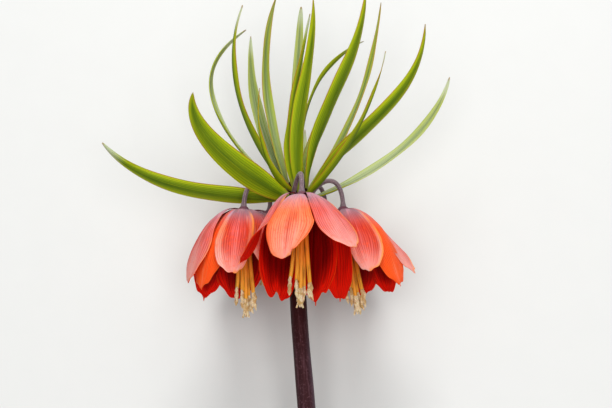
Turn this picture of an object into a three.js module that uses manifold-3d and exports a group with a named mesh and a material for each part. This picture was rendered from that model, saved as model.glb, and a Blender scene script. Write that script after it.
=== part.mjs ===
// Crown imperial fritillary (Fritillaria imperialis): one flowering stem, picked and laid down on its back.
//
// Every piece is modelled as it grew, in millimetres: x to the right, y up the stem, z to the front, with
// the origin in the middle of the crown, where the leaves and the flower stalks spring. At the end the
// whole plant is laid down: its head is lifted by the bells at the back, so the stem slopes from the crown
// to its cut end on the surface.
import * as THREE from "three";
import { mergeVertices } from "three/addons/utils/BufferGeometryUtils.js";
import Module from "manifold-3d";

const wasm = await Module();
wasm.setup();

// ---------------------------------------------------------------------------------------- driving dimensions

const GAP = 0.35; // clear space between pieces that meet

const STEM = {
  sides: 12,
  // The middle line, from the cut end to the tip of the crown.
  route: [
    [19, -300, 0], [15.5, -240, 0], [10.5, -175, 0], [4.9, -107, 0], [0.8, -55, 0], [0, -25, 0], [0, -9, 0],
  ],
  steps: 12,
  cutRadius: 5.4,
  neckRadius: 3.95,
  // The crown on top of the neck: height and radius of each ring.
  crown: [[-6, 4.7], [-2, 5.4], [2, 5.2], [5.5, 4.2], [8, 2.8]],
};

// pulls: heights of the two points that pull a stalk's arch up.
const PEDICEL = { sides: 7, steps: 12, radius: 1.1, rootHeight: -4.6, rootRadius: 5.3, pulls: [7.6, 16] };

const TEPAL = {
  thickness: 0.7,
  alongSteps: 9,
  acrossSteps: 4,
  clawRadius: 1.5, // where a tepal's middle line leaves the receptacle
  shoulderReach: 13.5, // pull of the shoulder on that line outwards
  bellyDepth: 0.36, // pull of the belly downwards, as a share of the tepal's length
  widest: 0.68, // share of the length where it is widest
  flare: 1.12, // how soon it widens from the claw: 1 is evenly, more is sooner
  whorlStep: 0.8, // how far outer tepals stand outside the bell's own surface, and inner ones inside
};

const RECEPTACLE = { radius: 3.4, height: 3.2, sides: 10 };

const STAMENS = {
  reach: [0.5, 1.05, 0.6, 0.45, 1.1, 0.55], // how far each filament leans out, as shares of the spread
  ringRadius: 1.5,
  filamentRadius: 0.55,
  antherLength: 9,
  antherRadius: 1.25,
  ovaryRadius: 1.9,
  ovaryLength: 9,
  styleRadius: 0.75,
  lobeLength: 4,
};

// The five bells of the whorl. at: where the receptacle hangs. lean: degrees that the mouth swings to the
// right and to the front. stamens: length, lean like the bell's own, and how wide they spread.
// tepals, outer and inner by turns: [turn round the bell from its front in degrees, how far out and how far
// down the tip comes, half the greatest width, how high the shoulder is pulled, how far the belly pulls
// outwards as a share of the length, how far one side of the tip twists outwards, how pointed the tip is
// from 0 to 1].
const BELLS = {
  front: {
    at: [2.5, -3.4, 27], lean: [0, 0], stamens: { length: 56, lean: [-1, 5], spread: 4.6 },
    tepals: [
      [-14, 32, 35.5, 11.7, 0.5, 0.55, 0, 0], [41, 39, 29, 12.4, 6, 0.55, 0, 0.5],
      [91, 24, 52.5, 15.5, 3, 0.5, 0, 0.8], [150, 19, 52.5, 15.5, 3, 0.5, 0, 0.8],
      [-136, 22, 52.5, 16, 3, 0.5, 0, 0.2], [-66, 33, 36, 11.5, 5, 0.4, 7, 0.9],
    ],
  },
  left: {
    at: [-26.5, -7.3, 5], lean: [-1.5, -2], stamens: { length: 54, lean: [1.5, 2], spread: 5 },
    tepals: [
      [-5, 30.5, 35, 10.4, 1, 0.55, 0, 0], [-47, 26, 41.5, 11, 4, 0.55, 0, 0.5],
      [-68, 27, 38.5, 12.5, 5, 0.55, 0, 0.1], [-132, 25.5, 44, 14, 4, 0.55, 0, 0.9],
      [-178, 22, 45, 14.5, 3, 0.5, 0, 0.9], [74, 21, 42, 12.5, 5, 0.55, 0, 0.5],
    ],
  },
  right: {
    at: [23, -7.3, 5], lean: [5, -2], stamens: { length: 53, lean: [7.5, 2], spread: 4.4 },
    tepals: [
      [19, 31, 35, 9.8, 2, 0.55, 0, 0], [54, 28.5, 40, 12, 7, 0.55, 0, 0.6],
      [72, 32, 34, 11.5, 9, 0.55, 0, 0.8], [113, 27.5, 38.5, 12.5, 6, 0.55, 0, 0.9],
      [164, 22, 45, 14, 3, 0.5, 0, 0.9], [-73, 20, 43, 12.5, 4, 0.55, 0, 0.5],
    ],
  },
  back_left: {
    at: [-14, -4.5, -24], lean: [-9, -13], stamens: { length: 43, lean: [-5, -8], spread: 4.2 },
    tepals: [
      [-125, 26, 38, 11.5, 4, 0.5, 0, 0.4], [-75, 24, 38, 12, 4, 0.5, 0, 0.5],
      [-20, 20, 37, 11.5, 2, 0.5, 0, 0.6], [45, 19, 37, 11.5, 2, 0.5, 0, 0.6],
      [120, 23, 38, 12, 4, 0.5, 0, 0.5], [178, 26, 37, 12, 4, 0.5, 0, 0.4],
    ],
  },
  back_right: {
    at: [14.5, -4.5, -22], lean: [9, -13], stamens: { length: 43, lean: [8, -8], spread: 4.2 },
    tepals: [
      [125, 26, 38, 11.5, 4, 0.5, 0, 0.4], [75, 24, 38, 12, 4, 0.5, 0, 0.5],
      [20, 20, 37, 11.5, 2, 0.5, 0, 0.6], [-45, 19, 37, 11.5, 2, 0.5, 0, 0.6],
      [-120, 23, 38, 12, 4, 0.5, 0, 0.5], [-178, 26, 37, 12, 4, 0.5, 0, 0.4],
    ],
  },
};
const WHORL = ["front", "left", "back_left", "back_right", "right"]; // in order round the stem
// How deep in the bells neighbours meet, how near they begin to give way, and what stays free between them
// and round the stem.
const PRESS = { depth: 27, start: 5, clear: 0.65, stemClear: 6.2 };

const LEAF = { thickness: 0.75, alongSteps: 12, acrossSteps: 2, baseShare: 0.36, widest: 0.3 };

// Leaf bases stand in three tiers up the crown: height and radius of each.
const TIERS = [[-1, 6.2], [1.6, 5.9], [4.2, 5.2]];

// Each leaf: its tier, the turn of its base from the front in degrees, half its greatest width, its taper,
// which is under 1 on a blunt leaf and over 1 on a drawn-out one, its roll about its middle line at the base,
// middle and tip in degrees, how deeply it is channelled, and the points that its middle line passes at one
// third, two thirds and all of its length.
const LEAVES = [
  {
    tier: 0, turn: -113, half: 4.7, taper: 0.6, roll: [-30, -60, -50], fold: 0.3,
    via: [[-37, 1.8, -5], [-70.5, 10, -9], [-99, 30, -13]],
  },
  {
    tier: 0, turn: -44, half: 6.4, taper: 0.75, roll: [-66, -62, -60], fold: 0.35,
    via: [[-26.5, 11, 15], [-45.5, 28, 24], [-51, 47.5, 29]],
  },
  {
    tier: 1, turn: -95, half: 3.5, taper: 0.5, roll: [0, 0, 0], fold: 0.3,
    via: [[-32, 29.5, -9], [-44.5, 61, -14], [-26, 88, -10]],
  },
  {
    tier: 2, turn: -70, half: 4.1, taper: 0.5, roll: [0, 0, 0], fold: 0.35,
    via: [[-23, 31, 6], [-32, 62.5, 9], [-27.5, 96.5, 8]],
  },
  {
    tier: 1, turn: -14, half: 2.9, taper: 1.5, roll: [0, 25, 50], fold: 0.4,
    via: [[-13, 11.5, 18], [-18.5, 30, 22], [-18.5, 51.5, 20]],
  },
  {
    tier: 1, turn: -150, half: 4.9, taper: 0.75, roll: [0, 0, 0], fold: 0.25,
    via: [[-16, 30.5, -16], [-23, 60, -24], [-24, 88.5, -27]],
  },
  {
    tier: 2, turn: -125, half: 3.5, taper: 0.6, roll: [0, 0, 0], fold: 0.25,
    via: [[-13, 38, -11], [-16.5, 73, -17], [-10.5, 108, -18]],
  },
  {
    tier: 2, turn: 180, half: 3, taper: 0.45, roll: [0, 0, 0], fold: 0.3,
    via: [[-0.5, 41, -13], [0.5, 74, -20], [2, 103, -22]],
  },
  {
    tier: 2, turn: -14, half: 3.5, taper: 0.75, roll: [0, 0, 0], fold: 0.3,
    via: [[-3, 34, 2], [1, 63, 0.5], [6.5, 94.5, -2]],
  },
  {
    tier: 1, turn: 17, half: 3.9, taper: 0.8, roll: [0, 0, 0], fold: 0.4,
    via: [[1, 35.5, 12], [6, 67, 12], [8, 101.5, 8]],
  },
  {
    tier: 2, turn: 116, half: 3.1, taper: 0.6, roll: [0, 40, 60], fold: 0.3,
    via: [[3, 36, -7], [13, 64, -11], [34, 82.5, -12]],
  },
  {
    tier: 2, turn: 66, half: 4.7, taper: 0.75, roll: [-15, 25, 35], fold: 0.35,
    via: [[14, 38, 9], [27, 69, 11], [34.5, 103, 8]],
  },
  {
    tier: 1, turn: 136, half: 2.9, taper: 0.7, roll: [-15, -15, -30], fold: 0.3,
    via: [[25, 35, -8], [37, 68.5, -14], [43, 104, -17]],
  },
  {
    tier: 0, turn: 41, half: 3.9, taper: 1.5, roll: [0, -20, -25], fold: 0.5,
    via: [[23.5, 19.5, 17], [36.5, 44, 24], [44, 69, 25]],
  },
  {
    tier: 1, turn: 90, half: 4, taper: 0.8, roll: [0, 50, 50], fold: 0.45,
    via: [[29, 28, 6], [53, 53.5, 9], [64.5, 87, 7]],
  },
  {
    tier: 0, turn: 112, half: 3.6, taper: 0.55, roll: [-10, -35, -45], fold: 0.35,
    via: [[35.5, 13.5, -11], [62.5, 36.5, -19], [78.5, 67, -27]],
  },
  {
    tier: 0, turn: 178, half: 4.6, taper: 0.75, roll: [0, 0, 0], fold: 0.35,
    via: [[1, 6, -27], [3, 20, -48], [4, 46, -62]],
  },
  {
    tier: 1, turn: 168, half: 3.6, taper: 0.75, roll: [0, 0, 0], fold: 0.35,
    via: [[9, 32, -20], [19.5, 62, -38], [27, 82, -48]],
  },
];

// ---------------------------------------------------------------------------------------- small tools

const radians = THREE.MathUtils.degToRad;
const vector = (p) => new THREE.Vector3(...p);
const mix = THREE.MathUtils.lerp;

// The unit vector that points out from the stem at a turn from the front, and the one to its right.
const outward = (turn) => new THREE.Vector3(Math.sin(turn), 0, Math.cos(turn));
const sideways = (turn) => new THREE.Vector3(Math.cos(turn), 0, -Math.sin(turn));

function closedGeometry(points, triangles) {
  const geometry = new THREE.BufferGeometry();
  geometry.setAttribute("position", new THREE.Float32BufferAttribute(points.flatMap((p) => p.toArray()), 3));
  geometry.setIndex(triangles);
  return geometry;
}

// A thin closed blade: surface(s, t) is its middle surface, s from base to tip and t from -1 to 1 across.
// Rows stand closer together toward both ends.
function blade(surface, alongSteps, acrossSteps, thickness) {
  const rows = alongSteps + 1;
  const columns = acrossSteps + 1;
  const share = (x) => mix(x, (1 - Math.cos(Math.PI * x)) / 2, 0.65);
  const middle = (i, j) => surface(share(i / alongSteps), (2 * j) / acrossSteps - 1);
  const row = (i) => Array.from({ length: columns }, (_, j) => middle(i, j));
  const grid = Array.from({ length: rows }, (_, i) => row(i));
  const front = [];
  const back = [];
  for (let i = 0; i < rows; i++) {
    for (let j = 0; j < columns; j++) {
      const along = grid[Math.min(i + 1, rows - 1)][j].clone().sub(grid[Math.max(i - 1, 0)][j]);
      const across = grid[i][Math.min(j + 1, columns - 1)].clone().sub(grid[i][Math.max(j - 1, 0)]);
      const half = along.cross(across).setLength(thickness / 2);
      front.push(grid[i][j].clone().add(half));
      back.push(grid[i][j].clone().sub(half));
    }
  }
  const at = (i, j) => i * columns + j;
  const under = rows * columns; // index of a front point plus this is the back point beneath it
  const triangles = [];
  for (let i = 0; i < alongSteps; i++) {
    for (let j = 0; j < acrossSteps; j++) {
      const [a, b, c, d] = [at(i, j), at(i + 1, j), at(i + 1, j + 1), at(i, j + 1)];
      triangles.push(a, b, c, a, c, d, under + a, under + c, under + b, under + a, under + d, under + c);
    }
  }
  const rim = (a, b) => triangles.push(a, b, under + b, a, under + b, under + a);
  for (let j = 0; j < acrossSteps; j++) {
    rim(at(0, j), at(0, j + 1));
    rim(at(alongSteps, j + 1), at(alongSteps, j));
  }
  for (let i = 0; i < alongSteps; i++) {
    rim(at(i + 1, 0), at(i, 0));
    rim(at(i, acrossSteps), at(i + 1, acrossSteps));
  }
  return closedGeometry([...front, ...back], triangles);
}

// A closed round solid along a line of points, with a radius for each.
function tube(centres, radii, sides) {
  const points = [];
  const triangles = [];
  let side = new THREE.Vector3(1, 0, 0);
  centres.forEach((centre, i) => {
    const next = centres[Math.min(i + 1, centres.length - 1)];
    const along = next.clone().sub(centres[Math.max(i - 1, 0)]).normalize();
    if (Math.abs(side.dot(along)) > 0.95) side = new THREE.Vector3(0, 0, 1);
    side = side.clone().addScaledVector(along, -side.dot(along)).normalize();
    const other = along.clone().cross(side);
    for (let k = 0; k < sides; k++) {
      const turn = (2 * Math.PI * (k + 0.5)) / sides;
      const offset = side.clone().multiplyScalar(Math.cos(turn)).addScaledVector(other, Math.sin(turn));
      points.push(centre.clone().addScaledVector(offset, radii[i]));
    }
  });
  const last = (centres.length - 1) * sides; // where the last ring starts
  for (let k = 0; k < sides; k++) {
    const after = (k + 1) % sides;
    for (let ring = 0; ring < last; ring += sides) {
      const [a, b, c, d] = [ring + k, ring + after, ring + sides + after, ring + sides + k];
      triangles.push(a, b, c, a, c, d);
    }
    triangles.push(points.length, after, k, points.length + 1, last + k, last + after);
  }
  return closedGeometry([...points, centres[0], centres.at(-1)], triangles);
}

function solidOf(geometry) {
  const bare = geometry.clone();
  bare.deleteAttribute("normal");
  bare.deleteAttribute("uv");
  const merged = mergeVertices(bare, 1e-4);
  return new wasm.Manifold(
    new wasm.Mesh({
      numProp: 3,
      vertProperties: new Float32Array(merged.attributes.position.array),
      triVerts: new Uint32Array(merged.index.array),
    }),
  );
}

function geometryOf(solid) {
  const mesh = solid.getMesh();
  const geometry = new THREE.BufferGeometry();
  geometry.setAttribute("position", new THREE.BufferAttribute(mesh.vertProperties, 3));
  geometry.setIndex(new THREE.BufferAttribute(mesh.triVerts, 1));
  return geometry;
}

// Pieces grown together as one solid, with the pockets sealed between them filled.
function fuse(geometries) {
  const joined = geometries.map(solidOf).reduce((all, one) => all.add(one));
  const shells = joined.decompose().filter((shell) => shell.volume() > 0);
  return geometryOf(wasm.Manifold.compose(shells));
}

// A point at share s of a cubic curve pulled by four values.
const bezier = (s, a, b, c, d) =>
  (1 - s) ** 3 * a + 3 * (1 - s) ** 2 * s * b + 3 * (1 - s) * s * s * c + s ** 3 * d;

// The curve through four points that reaches them at 0, one third, two thirds and all of its length.
function through(points, s) {
  const weights = [
    ((1 - 3 * s) * (2 - 3 * s) * (1 - s)) / 2,
    (9 * s * (2 - 3 * s) * (1 - s)) / 2,
    (9 * s * (3 * s - 1) * (1 - s)) / 2,
    (s * (3 * s - 1) * (3 * s - 2)) / 2,
  ];
  return points.reduce((sum, p, i) => sum.addScaledVector(p, weights[i]), new THREE.Vector3());
}

// ---------------------------------------------------------------------------------------- stem and stalks

function stem() {
  const line = new THREE.CatmullRomCurve3(STEM.route.map(vector), false, "centripetal");
  const centres = line.getSpacedPoints(STEM.steps);
  const radii = centres.map((_, i) => mix(STEM.cutRadius, STEM.neckRadius, i / STEM.steps));
  for (const [height, radius] of STEM.crown) {
    centres.push(new THREE.Vector3(0, height, 0));
    radii.push(radius);
  }
  return tube(centres, radii, STEM.sides);
}

function pedicel({ at }) {
  const turn = Math.atan2(at[0], at[2]);
  const reach = Math.hypot(at[0], at[2]);
  const end = at[1] + RECEPTACLE.height / 2 + 1.8 * GAP;
  const root = PEDICEL.rootRadius + PEDICEL.radius * 0.7 + GAP;
  const centres = Array.from({ length: PEDICEL.steps + 1 }, (_, i) => {
    const s = i / PEDICEL.steps;
    const radius = bezier(s, root, 0.34 * reach, 0.98 * reach, reach);
    const height = bezier(s, PEDICEL.rootHeight, ...PEDICEL.pulls, end);
    return outward(turn).multiplyScalar(radius).setY(height);
  });
  return tube(centres, centres.map(() => PEDICEL.radius), PEDICEL.sides);
}

// ---------------------------------------------------------------------------------------- bells

// Turns a bell's own directions, mouth down, to the way it hangs.
const hang = ([right, front]) =>
  new THREE.Quaternion().setFromEuler(new THREE.Euler(-radians(front), 0, radians(right)));

// The middle of a bell, low down where it presses on its neighbours.
const heart = ({ at, lean }) =>
  new THREE.Vector3(0, -PRESS.depth, 0).applyQuaternion(hang(lean)).add(vector(at)).setY(0);

// Distances under the start of the press shrink, and never reach nothing.
const give = (distance) =>
  distance > PRESS.start ? distance : PRESS.start * Math.exp((distance - PRESS.start) / PRESS.start);

// The upright planes between a bell and its two neighbours in the whorl.
function neighbourPlanes(name) {
  const place = WHORL.indexOf(name);
  const own = heart(BELLS[name]);
  return [1, WHORL.length - 1].map((step) => {
    const other = heart(BELLS[WHORL[(place + step) % WHORL.length]]);
    const normal = own.clone().sub(other).normalize();
    return { normal, middle: own.clone().add(other).multiplyScalar(0.5) };
  });
}

function pressed(point, planes) {
  for (const { normal, middle } of planes) {
    const distance = point.clone().sub(middle).dot(normal) - PRESS.clear;
    point.addScaledVector(normal, give(distance) - distance);
  }
  const fromStem = Math.hypot(point.x, point.z);
  const kept = PRESS.stemClear + give(fromStem - PRESS.stemClear);
  return point.multiply(new THREE.Vector3(kept / fromStem, 1, kept / fromStem));
}

// Half the width of a tepal at share s of its length: a narrow claw, widest past the middle, and a blunt or
// pointed tip.
function tepalHalfWidth(s, greatest, pointed) {
  const { widest, clawRadius, flare } = TEPAL;
  if (s < widest) return Math.max(clawRadius, greatest * (1 - (1 - s / widest) ** flare));
  const end = (s - widest) / (1 - widest);
  const share = (1 - Math.min(1, end) ** (2.4 - 0.4 * pointed)) ** (0.5 + 0.22 * pointed);
  return greatest * Math.max(0.08, share);
}

function tepal(bell, index) {
  const [turnDegrees, tipRadius, tipDepth, greatest, lift, belly, twist, pointed] = bell.tepals[index];
  const outer = index % 2 === 0;
  const turn = radians(turnDegrees);
  const step = outer ? TEPAL.whorlStep : -TEPAL.whorlStep;
  const length = Math.hypot(tipRadius, tipDepth);
  const turned = hang(bell.lean);
  return (s, t) => {
    const radius = bezier(s, TEPAL.clawRadius, TEPAL.shoulderReach, belly * length, tipRadius);
    const depth = bezier(s, 0, -lift, TEPAL.bellyDepth * length, tipDepth);
    const apart = step * Math.min(1, 4 * s);
    const curl = Math.max(outer ? radius * 1.15 : radius, 7);
    const angle = (tepalHalfWidth(s, greatest, pointed) * t) / curl;
    return outward(turn)
      .multiplyScalar(radius + apart - curl * (1 - Math.cos(angle)) + twist * t * s ** 4)
      .addScaledVector(sideways(turn), curl * Math.sin(angle))
      .setY(-depth + apart / 2)
      .applyQuaternion(turned)
      .add(vector(bell.at));
  };
}

function receptacle(bell) {
  const { radius, height, sides } = RECEPTACLE;
  const profile = [[0, -0.5], [1, -0.5], [0.9, 0.2], [0.45, 0.5], [0, 0.5]]; // shares of radius and height
  const outline = profile.map(([r, y]) => new THREE.Vector2(r * radius, y * height));
  return new THREE.LatheGeometry(outline, sides).applyQuaternion(hang(bell.lean)).translate(...bell.at);
}

function tepals(name) {
  const bell = BELLS[name];
  const planes = neighbourPlanes(name);
  const blades = bell.tepals.map((_, index) => {
    const surface = tepal(bell, index);
    const shaped = (s, t) => pressed(surface(s, t), planes);
    return blade(shaped, TEPAL.alongSteps, TEPAL.acrossSteps, TEPAL.thickness);
  });
  return fuse([receptacle(bell), ...blades]);
}

function stamens(name) {
  const { at, stamens: own } = BELLS[name];
  const turned = hang(own.lean);
  const place = (radius, turn, depth) =>
    outward(turn).multiplyScalar(radius).setY(-depth).applyQuaternion(turned).add(vector(at));
  const top = RECEPTACLE.height / 2 + 0.7;
  const ovaryEnd = top + STAMENS.ovaryLength;
  const lobesFrom = own.length - STAMENS.lobeLength;
  const solids = [
    tube([place(0, 0, top), place(0, 0, ovaryEnd)], [STAMENS.ovaryRadius, STAMENS.styleRadius], 6),
    tube([place(0, 0, ovaryEnd - 1), place(0, 0, lobesFrom)], [STAMENS.styleRadius, STAMENS.styleRadius], 4),
  ];
  for (let k = 0; k < 3; k++) {
    const turn = (2 * Math.PI * k) / 3;
    const lobe = [place(0.2, turn, lobesFrom - 0.8), place(1.8, turn, own.length)];
    solids.push(tube(lobe, [0.6, 0.45], 4));
  }
  STAMENS.reach.forEach((share, k) => {
    const turn = (2 * Math.PI * (k + 0.5)) / STAMENS.reach.length;
    const end = own.length - STAMENS.antherLength - (k % 2) * 2 - (k % 3);
    const reach = own.spread * share;
    const radiusAt = (s) => mix(STAMENS.ringRadius, reach, s ** 1.4);
    const line = [0, 0.35, 0.7, 1].map((s) => place(radiusAt(s), turn, mix(top + 1, end, s)));
    solids.push(tube(line, line.map(() => STAMENS.filamentRadius), 3));
    const anther = [-0.8, 2.2, 6, STAMENS.antherLength].map((d) => place(reach + 0.2, turn, end + d));
    solids.push(tube(anther, [0.5, 1, 1, 0.4].map((size) => size * STAMENS.antherRadius), 4));
  });
  return fuse(solids);
}

// ---------------------------------------------------------------------------------------- leaves

// Half the width of a leaf at share s of its length: widest low down, then narrower to its tip.
function leafHalfWidth(s, greatest, taper) {
  const { baseShare, widest } = LEAF;
  const share =
    s < widest
      ? 1 - (1 - baseShare) * ((widest - s) / widest) ** 2
      : Math.max(0, 1 - ((s - widest) / (1 - widest)) ** 1.4) ** taper;
  return Math.max(0.45, greatest * share);
}

function leaf({ tier, turn: turnDegrees, half, taper, roll, fold, via }) {
  const [height, radius] = TIERS[tier];
  const turn = radians(turnDegrees);
  const root = outward(turn).multiplyScalar(radius + GAP + LEAF.thickness / 2).setY(height);
  const points = [root, ...via.map(vector)];
  const heading = wrapped(Math.atan2(via[1][0], via[1][2]) - turn);
  const surface = (s, t) => {
    const along = through(points, s + 0.01).sub(through(points, s - 0.01)).normalize();
    const facing = turn + heading * Math.min(1, s / LEAF.widest);
    const side = sideways(facing);
    side.addScaledVector(along, -side.dot(along)).normalize();
    const upper = along.clone().cross(side);
    const angle = radians(s < 0.5 ? mix(roll[0], roll[1], 2 * s) : mix(roll[1], roll[2], 2 * s - 1));
    const across = side.clone().multiplyScalar(Math.cos(angle)).addScaledVector(upper, -Math.sin(angle));
    const rise = upper.clone().multiplyScalar(Math.cos(angle)).addScaledVector(side, Math.sin(angle));
    const halfWidth = leafHalfWidth(s, half, taper);
    return through(points, s)
      .addScaledVector(across, halfWidth * t)
      .addScaledVector(rise, fold * halfWidth * Math.abs(t) ** 1.4);
  };
  return blade(surface, LEAF.alongSteps, LEAF.acrossSteps, LEAF.thickness);
}

// An angle brought between minus and plus half a turn.
const wrapped = (angle) => Math.atan2(Math.sin(angle), Math.cos(angle));

// ---------------------------------------------------------------------------------------- the plant

const finish = (color, roughness) =>
  new THREE.MeshStandardMaterial({ color, roughness, metalness: 0, side: THREE.DoubleSide });
const STEM_FINISH = finish(0x2a1419, 0.55);
const PEDICEL_FINISH = finish(0x6a4a55, 0.6);
const TEPAL_FINISH = finish(0xe2482c, 0.5);
const STAMEN_FINISH = finish(0xe3b766, 0.6);
const LEAF_FINISH = finish(0x5d8a12, 0.5);

const plant = new THREE.Group();
const grow = (name, geometry, material) => {
  const mesh = new THREE.Mesh(geometry, material);
  mesh.name = name;
  plant.add(mesh);
};

grow("stem", stem(), STEM_FINISH);
for (const name of WHORL) {
  grow(`pedicel_${name}`, pedicel(BELLS[name]), PEDICEL_FINISH);
  grow(`tepals_${name}`, tepals(name), TEPAL_FINISH);
  grow(`stamens_${name}`, stamens(name), STAMEN_FINISH);
}
LEAVES.forEach((one, i) => grow(`leaf_${String(i + 1).padStart(2, "0")}`, leaf(one), LEAF_FINISH));

// The lowest point of some of the pieces, with the plant turned as it is now.
function lowest(...names) {
  const points = names.flatMap((name) => {
    const { array } = plant.getObjectByName(name).geometry.attributes.position;
    return Array.from({ length: array.length / 3 }, (_, i) =>
      new THREE.Vector3().fromArray(array, 3 * i).applyQuaternion(plant.quaternion),
    );
  });
  return points.reduce((low, point) => (point.z < low.z ? point : low));
}

// Laid on its back: turned until the stem and the two bells at the back all rest on the same level.
for (let pass = 0; pass < 12; pass++) {
  const [tail, left, right] = [lowest("stem"), lowest("tepals_back_left"), lowest("tepals_back_right")];
  const normal = right.clone().sub(tail).cross(left.clone().sub(tail)).normalize();
  plant.quaternion.premultiply(new THREE.Quaternion().setFromUnitVectors(normal, new THREE.Vector3(0, 0, 1)));
}
plant.updateMatrixWorld(true);
const bounds = new THREE.Box3().setFromObject(plant, true);
plant.position.set(-(bounds.min.x + bounds.max.x) / 2, -(bounds.min.y + bounds.max.y) / 2, -bounds.min.z);

const laid = new THREE.Group();
laid.add(plant);

export default laid;
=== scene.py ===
"""Crown imperial fritillary: the looks of one picked flower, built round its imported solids.

The plant is modelled as it grew, in millimetres: x to the right, y up the stem, z to the front, with the
origin in the middle of the crown. laid() turns and shifts it to where it lies on its back, in metres, as the
solids do.
"""

import math

import bpy
import numpy as np
from bpy.props import FloatProperty, FloatVectorProperty, IntProperty, PointerProperty
from mathutils import Matrix, Quaternion, Vector


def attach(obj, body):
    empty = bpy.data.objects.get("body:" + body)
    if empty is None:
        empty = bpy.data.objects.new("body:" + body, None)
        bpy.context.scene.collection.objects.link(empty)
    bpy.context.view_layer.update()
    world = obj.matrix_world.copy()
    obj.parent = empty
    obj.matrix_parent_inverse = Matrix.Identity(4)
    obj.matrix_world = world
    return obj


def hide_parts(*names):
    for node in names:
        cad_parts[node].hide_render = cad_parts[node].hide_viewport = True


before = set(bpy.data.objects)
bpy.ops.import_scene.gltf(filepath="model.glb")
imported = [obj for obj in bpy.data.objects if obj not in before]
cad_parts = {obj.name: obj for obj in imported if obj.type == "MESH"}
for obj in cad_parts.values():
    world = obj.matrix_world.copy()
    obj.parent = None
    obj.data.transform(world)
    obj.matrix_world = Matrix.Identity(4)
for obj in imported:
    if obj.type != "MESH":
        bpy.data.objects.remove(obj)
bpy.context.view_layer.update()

bl_info = {
    "name": "Crown imperial fritillary",
    "version": (1, 0, 0),
    "blender": (4, 5, 0),
    "location": "3D View > Sidebar > Fritillary",
    "description": "Builds a picked crown imperial: stem, stalks, bells, stamens, leaves and stage",
    "category": "Add Mesh",
}

# ------------------------------ the plant's layout, in mm

MILLIMETRE = 0.001  # in metres
LAID_TURN = Quaternion((0.9953385, 0.0928674, 0.0260181, -0.000033))
LAID_SHIFT = Vector((10.947, 93.112, 61.621))

STEM_ROUTE = [
    (19, -300, 0), (15.5, -240, 0), (10.5, -175, 0), (4.9, -107, 0), (0.8, -55, 0), (0, -25, 0), (0, -9, 0),
]
STEM_RADII = (5.25, 3.95)  # at the cut end and under the crown
STEM_RINGS = 220
CROWN = [(-6, 4.7), (-2, 5.7), (2, 5.7), (5.5, 4.9), (8.5, 3.4), (9.6, 1.4)]  # height and radius of its rings
CROWN_RINGS = 26

STALK_ROOT = (-4.6, 4.6)  # height, and distance from the stem's middle line
STALK_PULLS = (7.6, 16)  # heights of the two pulls of the arch
STALK_REACHES = (0.34, 0.98)  # how far out they are, as shares of the way to the bell
STALK_DRIFT = {"front": -2.6}  # mm that its root stands to the side
STALK_RADIUS, STALK_FOOT, STALK_COLLAR = 1.15, 0.35, 0.5  # the last two are added at its two ends
STALK_SINK = 0.3  # mm that its end is inside the receptacle
STALK_RINGS, STALK_SIDES = 60, 20

RECEPTACLE_HEIGHT = 3.2
# Height and radius of the rings of the knob that a bell's petals spring from.
RECEPTACLE = [(1.75, 1.6), (1.3, 2.1), (0.4, 2.9), (-0.6, 3.5), (-1.4, 3.3), (-1.7, 2.0)]
RECEPTACLE_SIDES = 24
CLAW_RADIUS = 1.5  # half the width of a petal's foot, and how far from the bell's axis it springs
SHOULDER_REACH = 13.5  # how far out a petal's shoulder is pulled
BELLY_DEPTH = 0.36  # where its belly is pulled out, and the next where it is widest, as shares of the length
PETAL_WIDEST = 0.68
PETAL_FLARE, PETAL_ROUNDING = 1.12, 2.4  # how its sides swell from the claw, and how round its end is
WHORL_STEP = 0.8  # how far outer petals lie outside the bell's middle surface, and inner ones inside it
OUTER_CURL, LEAST_CURL = 1.15, 7  # how much flatter than the bell outer petals are, and the tightest radius
SPUR_WIDTH = 1.1  # half the width of the drawn-out point of a petal
MARGIN_WAVE, RIB_HEIGHT, TIP_FLICK = 0.45, 0.07, 1.4
RIBS = 10  # fine lengthwise ribs across a petal
FRILL, CLEFT_WIDTH, TEAR_WIDTH = 0.007, 0.13, 0.06  # the first a share of the length, the others of the width
PETAL_ROWS, PETAL_COLUMNS = 60, 64

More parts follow.
